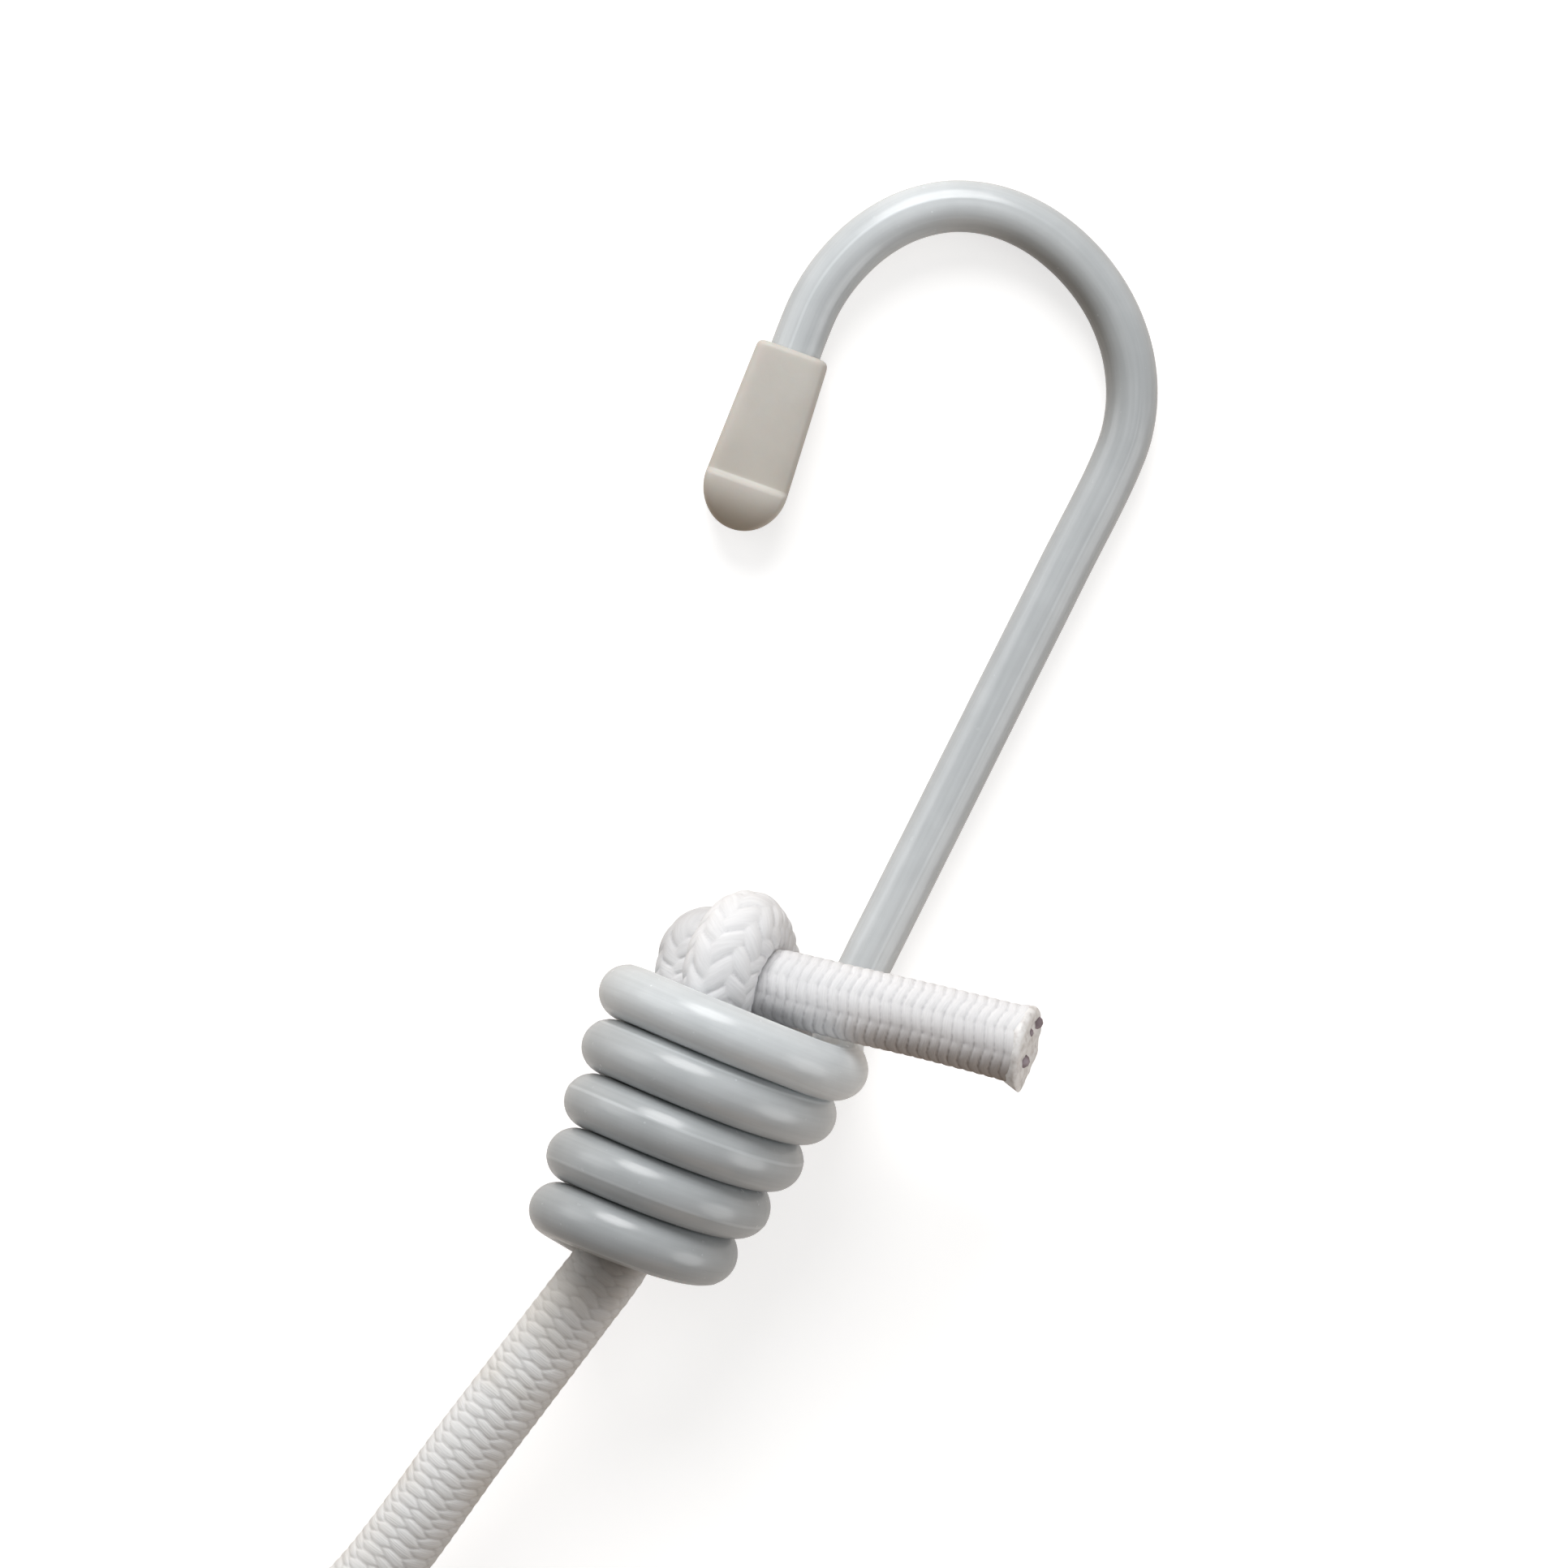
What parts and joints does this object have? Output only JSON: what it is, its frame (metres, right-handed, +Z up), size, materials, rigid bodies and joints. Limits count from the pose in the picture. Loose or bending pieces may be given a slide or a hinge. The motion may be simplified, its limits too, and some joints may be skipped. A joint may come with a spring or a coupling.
{
  "type": "bungee clothesline",
  "caption": "Elastic travel clothesline: braided bungee cord knotted in the coiled end of a coated wire hook at each end, slack put away in a tied hank",
  "frame": {"origin": "on the floor under the middle of the hank, halfway between the two hooks", "axes": "+Y runs along the line to hook A, +Z is up from the floor it lies on, +X completes the right-handed frame"},
  "size_m": [0.0596, 0.4868, 0.0284],
  "materials": {
    "steel_wire": "drawn steel wire inside the coating",
    "grey_coating": "satin light grey dipped plastic",
    "tip_cap": "matte warm grey moulded plastic",
    "braided_sheath": "white braided polyester yarn",
    "rubber_core": "matte rubber strands",
    "tie_strap": "dark woven strap"
  },
  "bodies": {
    "line": {"cord_hank_sheath": "braided_sheath", "cord_hank_core": "rubber_core", "hank_tie": "tie_strap", "cord_a_lead_sheath": "braided_sheath", "cord_a_lead_core": "rubber_core", "cord_b_lead_sheath": "braided_sheath", "cord_b_lead_core": "rubber_core"},
    "end_a": {"cord_a_bore_sheath": "braided_sheath", "cord_a_bore_core": "rubber_core", "cord_a_knot_sheath": "braided_sheath", "cord_a_knot_core": "rubber_core", "cord_a_tail_sheath": "braided_sheath", "cord_a_tail_core": "rubber_core"},
    "hook_a": {"hook_a_wire": "steel_wire", "hook_a_coating": "grey_coating", "hook_a_tip_cap": "tip_cap"},
    "end_b": {"cord_b_bore_sheath": "braided_sheath", "cord_b_bore_core": "rubber_core", "cord_b_knot_sheath": "braided_sheath", "cord_b_knot_core": "rubber_core", "cord_b_tail_sheath": "braided_sheath", "cord_b_tail_core": "rubber_core"},
    "hook_b": {"hook_b_wire": "steel_wire", "hook_b_coating": "grey_coating", "hook_b_tip_cap": "tip_cap"}
  },
  "joints": [
    {"name": "a_stretch", "type": "slide", "parent": "line", "child": "end_a", "axis": [0, 1, 0], "range_m": [0, 0.08], "stiffness_N_per_m": 1200, "deforming": ["cord_a_lead_sheath", "cord_a_lead_core"]},
    {"name": "a_swivel", "type": "hinge", "parent": "end_a", "child": "hook_a", "pos_m": [0, 0.128, 0.01395], "axis": [0, 1, 0], "range_deg": [0, 215]},
    {"name": "b_stretch", "type": "slide", "parent": "line", "child": "end_b", "axis": [0, -1, 0], "range_m": [0, 0.08], "stiffness_N_per_m": 1200, "deforming": ["cord_b_lead_sheath", "cord_b_lead_core"]},
    {"name": "b_swivel", "type": "hinge", "parent": "end_b", "child": "hook_b", "pos_m": [0, -0.128, 0.01395], "axis": [0, -1, 0], "range_deg": [0, 215]}
  ]
}
